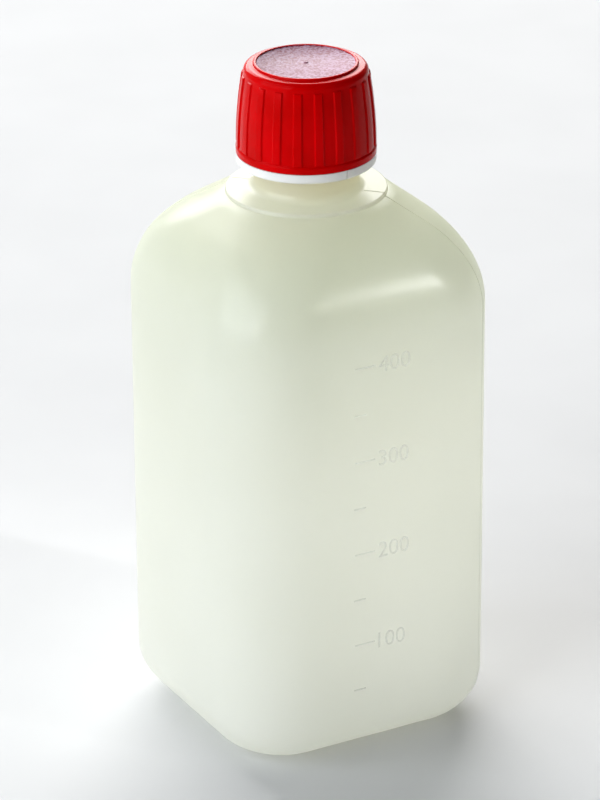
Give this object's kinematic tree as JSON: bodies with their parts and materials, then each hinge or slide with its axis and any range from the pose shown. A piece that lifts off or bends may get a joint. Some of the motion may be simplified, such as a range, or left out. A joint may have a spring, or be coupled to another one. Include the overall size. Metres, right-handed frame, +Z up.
{
  "type": "square laboratory bottle",
  "caption": "Square translucent plastic laboratory bottle with rounded corners, raised graduations, a ribbed screw cap, a sealing insert and a tamper-evident ring.",
  "frame": {"origin": "centre of the base, on the surface that the bottle stands on", "axes": "+Z up along the neck, the side walls square to X and Y, the graduated wall facing -Y"},
  "size_m": [0.07, 0.07, 0.1606],
  "materials": {
    "bottle": "satin, translucent natural polyethylene",
    "cap": "glossy, spark-eroded disc on top",
    "insert": "satin",
    "ring": "glossy"
  },
  "bodies": {
    "bottle_body": {"bottle": "bottle"},
    "insert_body": {"sealing_insert": "insert"},
    "cap_body": {"screw_cap": "cap"},
    "ring_body": {"tamper_ring": "ring"}
  },
  "joints": [
    {"name": "cap_lift", "type": "slide", "parent": "bottle_body", "child": "insert_body", "axis": [0, 0, 1], "range_m": [0, 0.024]},
    {"name": "cap_turn", "type": "hinge", "parent": "insert_body", "child": "cap_body", "pos_m": [0, 0, 0.15], "axis": [0, 0, 1], "range_deg": [0, 2160]},
    {"name": "ring_drop", "type": "slide", "parent": "bottle_body", "child": "ring_body", "axis": [0, 0, -1], "range_m": [0, 0.0054]}
  ],
  "couplings": [
    {"joint": "cap_lift", "follows": "cap_turn", "m_per_rad": 0.00063661}
  ]
}
